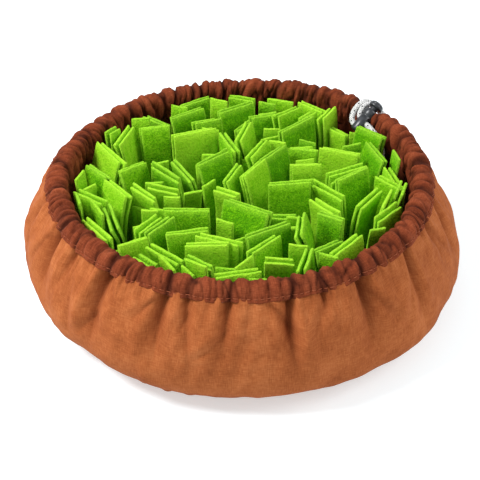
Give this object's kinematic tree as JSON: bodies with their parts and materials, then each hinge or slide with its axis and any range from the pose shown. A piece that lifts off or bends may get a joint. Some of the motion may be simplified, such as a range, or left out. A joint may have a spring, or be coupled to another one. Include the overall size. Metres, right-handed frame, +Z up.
{
  "type": "snuffle bowl",
  "caption": "Round cloth bowl with a gathered drawcord rim, a cord lock, and upright folded felt strips inside for hiding dry food.",
  "frame": {"origin": "middle of the base, on the surface that the bowl stands on", "axes": "+Z up, -Y towards the front, +X to the right seen from the front; the cord lock is at the back right"},
  "size_m": [0.2896, 0.2894, 0.0902],
  "materials": {
    "wall_cloth": "matte woven cotton-linen cloth",
    "casing_cloth": "matte woven cloth, gathered and top-stitched",
    "inner_cloth": "matte woven cloth",
    "felt": "soft needle-punched felt",
    "cord": "braided round cord, pale with dark flecks",
    "lock_plastic": "smooth moulded plastic"
  },
  "bodies": {
    "bowl": {"outer_wall": "wall_cloth", "base_panel": "wall_cloth", "rim_casing": "casing_cloth", "inner_floor": "inner_cloth", "inner_side": "inner_cloth", "drawcord_in_casing": "cord", "drawcord_bight": "cord", "lock_body": "lock_plastic", "felt_strip_01": "felt", "felt_strip_02": "felt", "felt_strip_03": "felt", "felt_strip_04": "felt", "felt_strip_05": "felt", "felt_strip_06": "felt", "felt_strip_07": "felt", "felt_strip_08": "felt", "felt_strip_09": "felt", "felt_strip_10": "felt", "felt_strip_11": "felt", "felt_strip_12": "felt", "felt_strip_13": "felt", "felt_strip_14": "felt", "felt_strip_15": "felt", "felt_strip_16": "felt", "felt_strip_17": "felt", "felt_strip_18": "felt", "felt_strip_19": "felt", "felt_strip_20": "felt", "felt_strip_21": "felt", "felt_strip_22": "felt", "felt_strip_23": "felt", "felt_strip_24": "felt", "felt_strip_25": "felt", "felt_strip_26": "felt", "felt_strip_27": "felt", "felt_strip_28": "felt", "felt_strip_29": "felt", "felt_strip_30": "felt", "felt_strip_31": "felt", "felt_strip_32": "felt", "felt_strip_33": "felt", "felt_strip_34": "felt", "felt_strip_35": "felt", "felt_strip_36": "felt", "felt_strip_37": "felt", "felt_strip_38": "felt", "felt_strip_39": "felt", "felt_strip_40": "felt", "felt_strip_41": "felt", "felt_strip_42": "felt", "felt_strip_43": "felt", "felt_strip_44": "felt", "felt_strip_45": "felt", "felt_strip_46": "felt", "felt_strip_47": "felt", "felt_strip_48": "felt", "felt_strip_49": "felt", "felt_strip_50": "felt", "felt_strip_51": "felt"},
    "button": {"lock_button": "lock_plastic"}
  },
  "joints": [
    {"name": "button_press", "type": "slide", "parent": "bowl", "child": "button", "axis": [-0.6451, -0.495, -0.5821], "range_m": [0, 0.0022], "stiffness_N_per_m": 400, "springref_m": -0.002}
  ]
}
